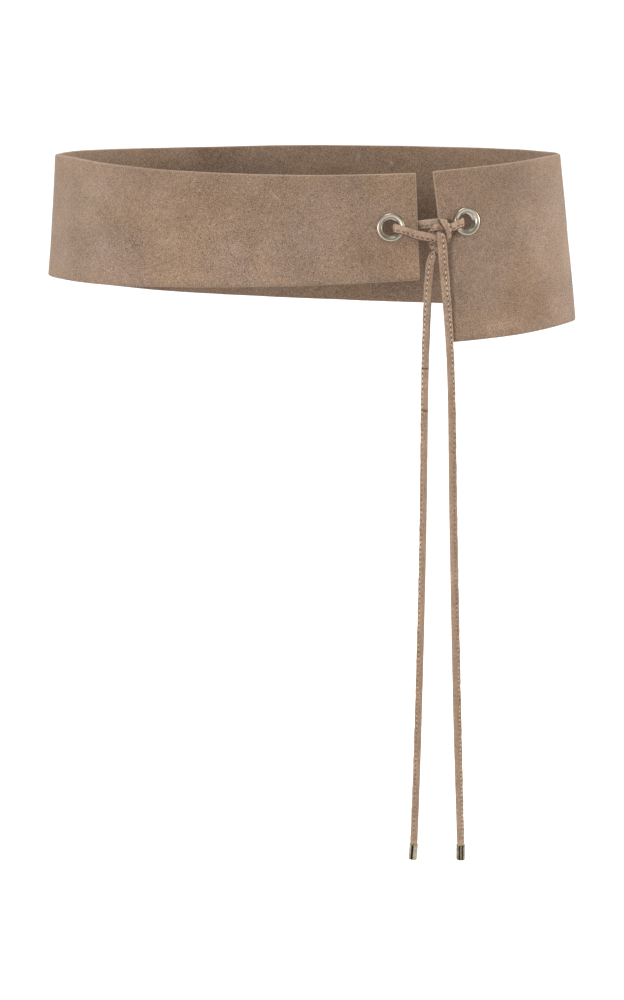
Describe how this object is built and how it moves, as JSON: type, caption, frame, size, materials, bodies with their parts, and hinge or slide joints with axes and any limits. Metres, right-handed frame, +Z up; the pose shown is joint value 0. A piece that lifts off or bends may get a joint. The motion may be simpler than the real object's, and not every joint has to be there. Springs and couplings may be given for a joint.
{
  "type": "suede waist belt tied with a lace",
  "caption": "Wide suede waist belt in its worn loop, narrow on one side and widening to the other, closed in front by a flat suede lace knotted through metal eyelets.",
  "frame": {"origin": "middle of the hollow where the waist goes, 45 mm below the loop's top edge", "axes": "+X to the right of someone who faces the front, +Y from the front to the back, +Z up along the waist"},
  "size_m": [0.2957, 0.2093, 0.3824],
  "materials": {
    "suede": "brushed suede nap, mottled taupe",
    "lace_suede": "suede lace, folded and stitched",
    "nickel": "warm satin nickel"
  },
  "bodies": {
    "root": {"belt_band": "suede", "eyelet_left": "nickel", "eyelet_right": "nickel", "lace_tie": "lace_suede", "lace_tail_left": "lace_suede", "lace_tail_right": "lace_suede", "aglet_left": "nickel", "aglet_right": "nickel"}
  },
  "joints": []
}
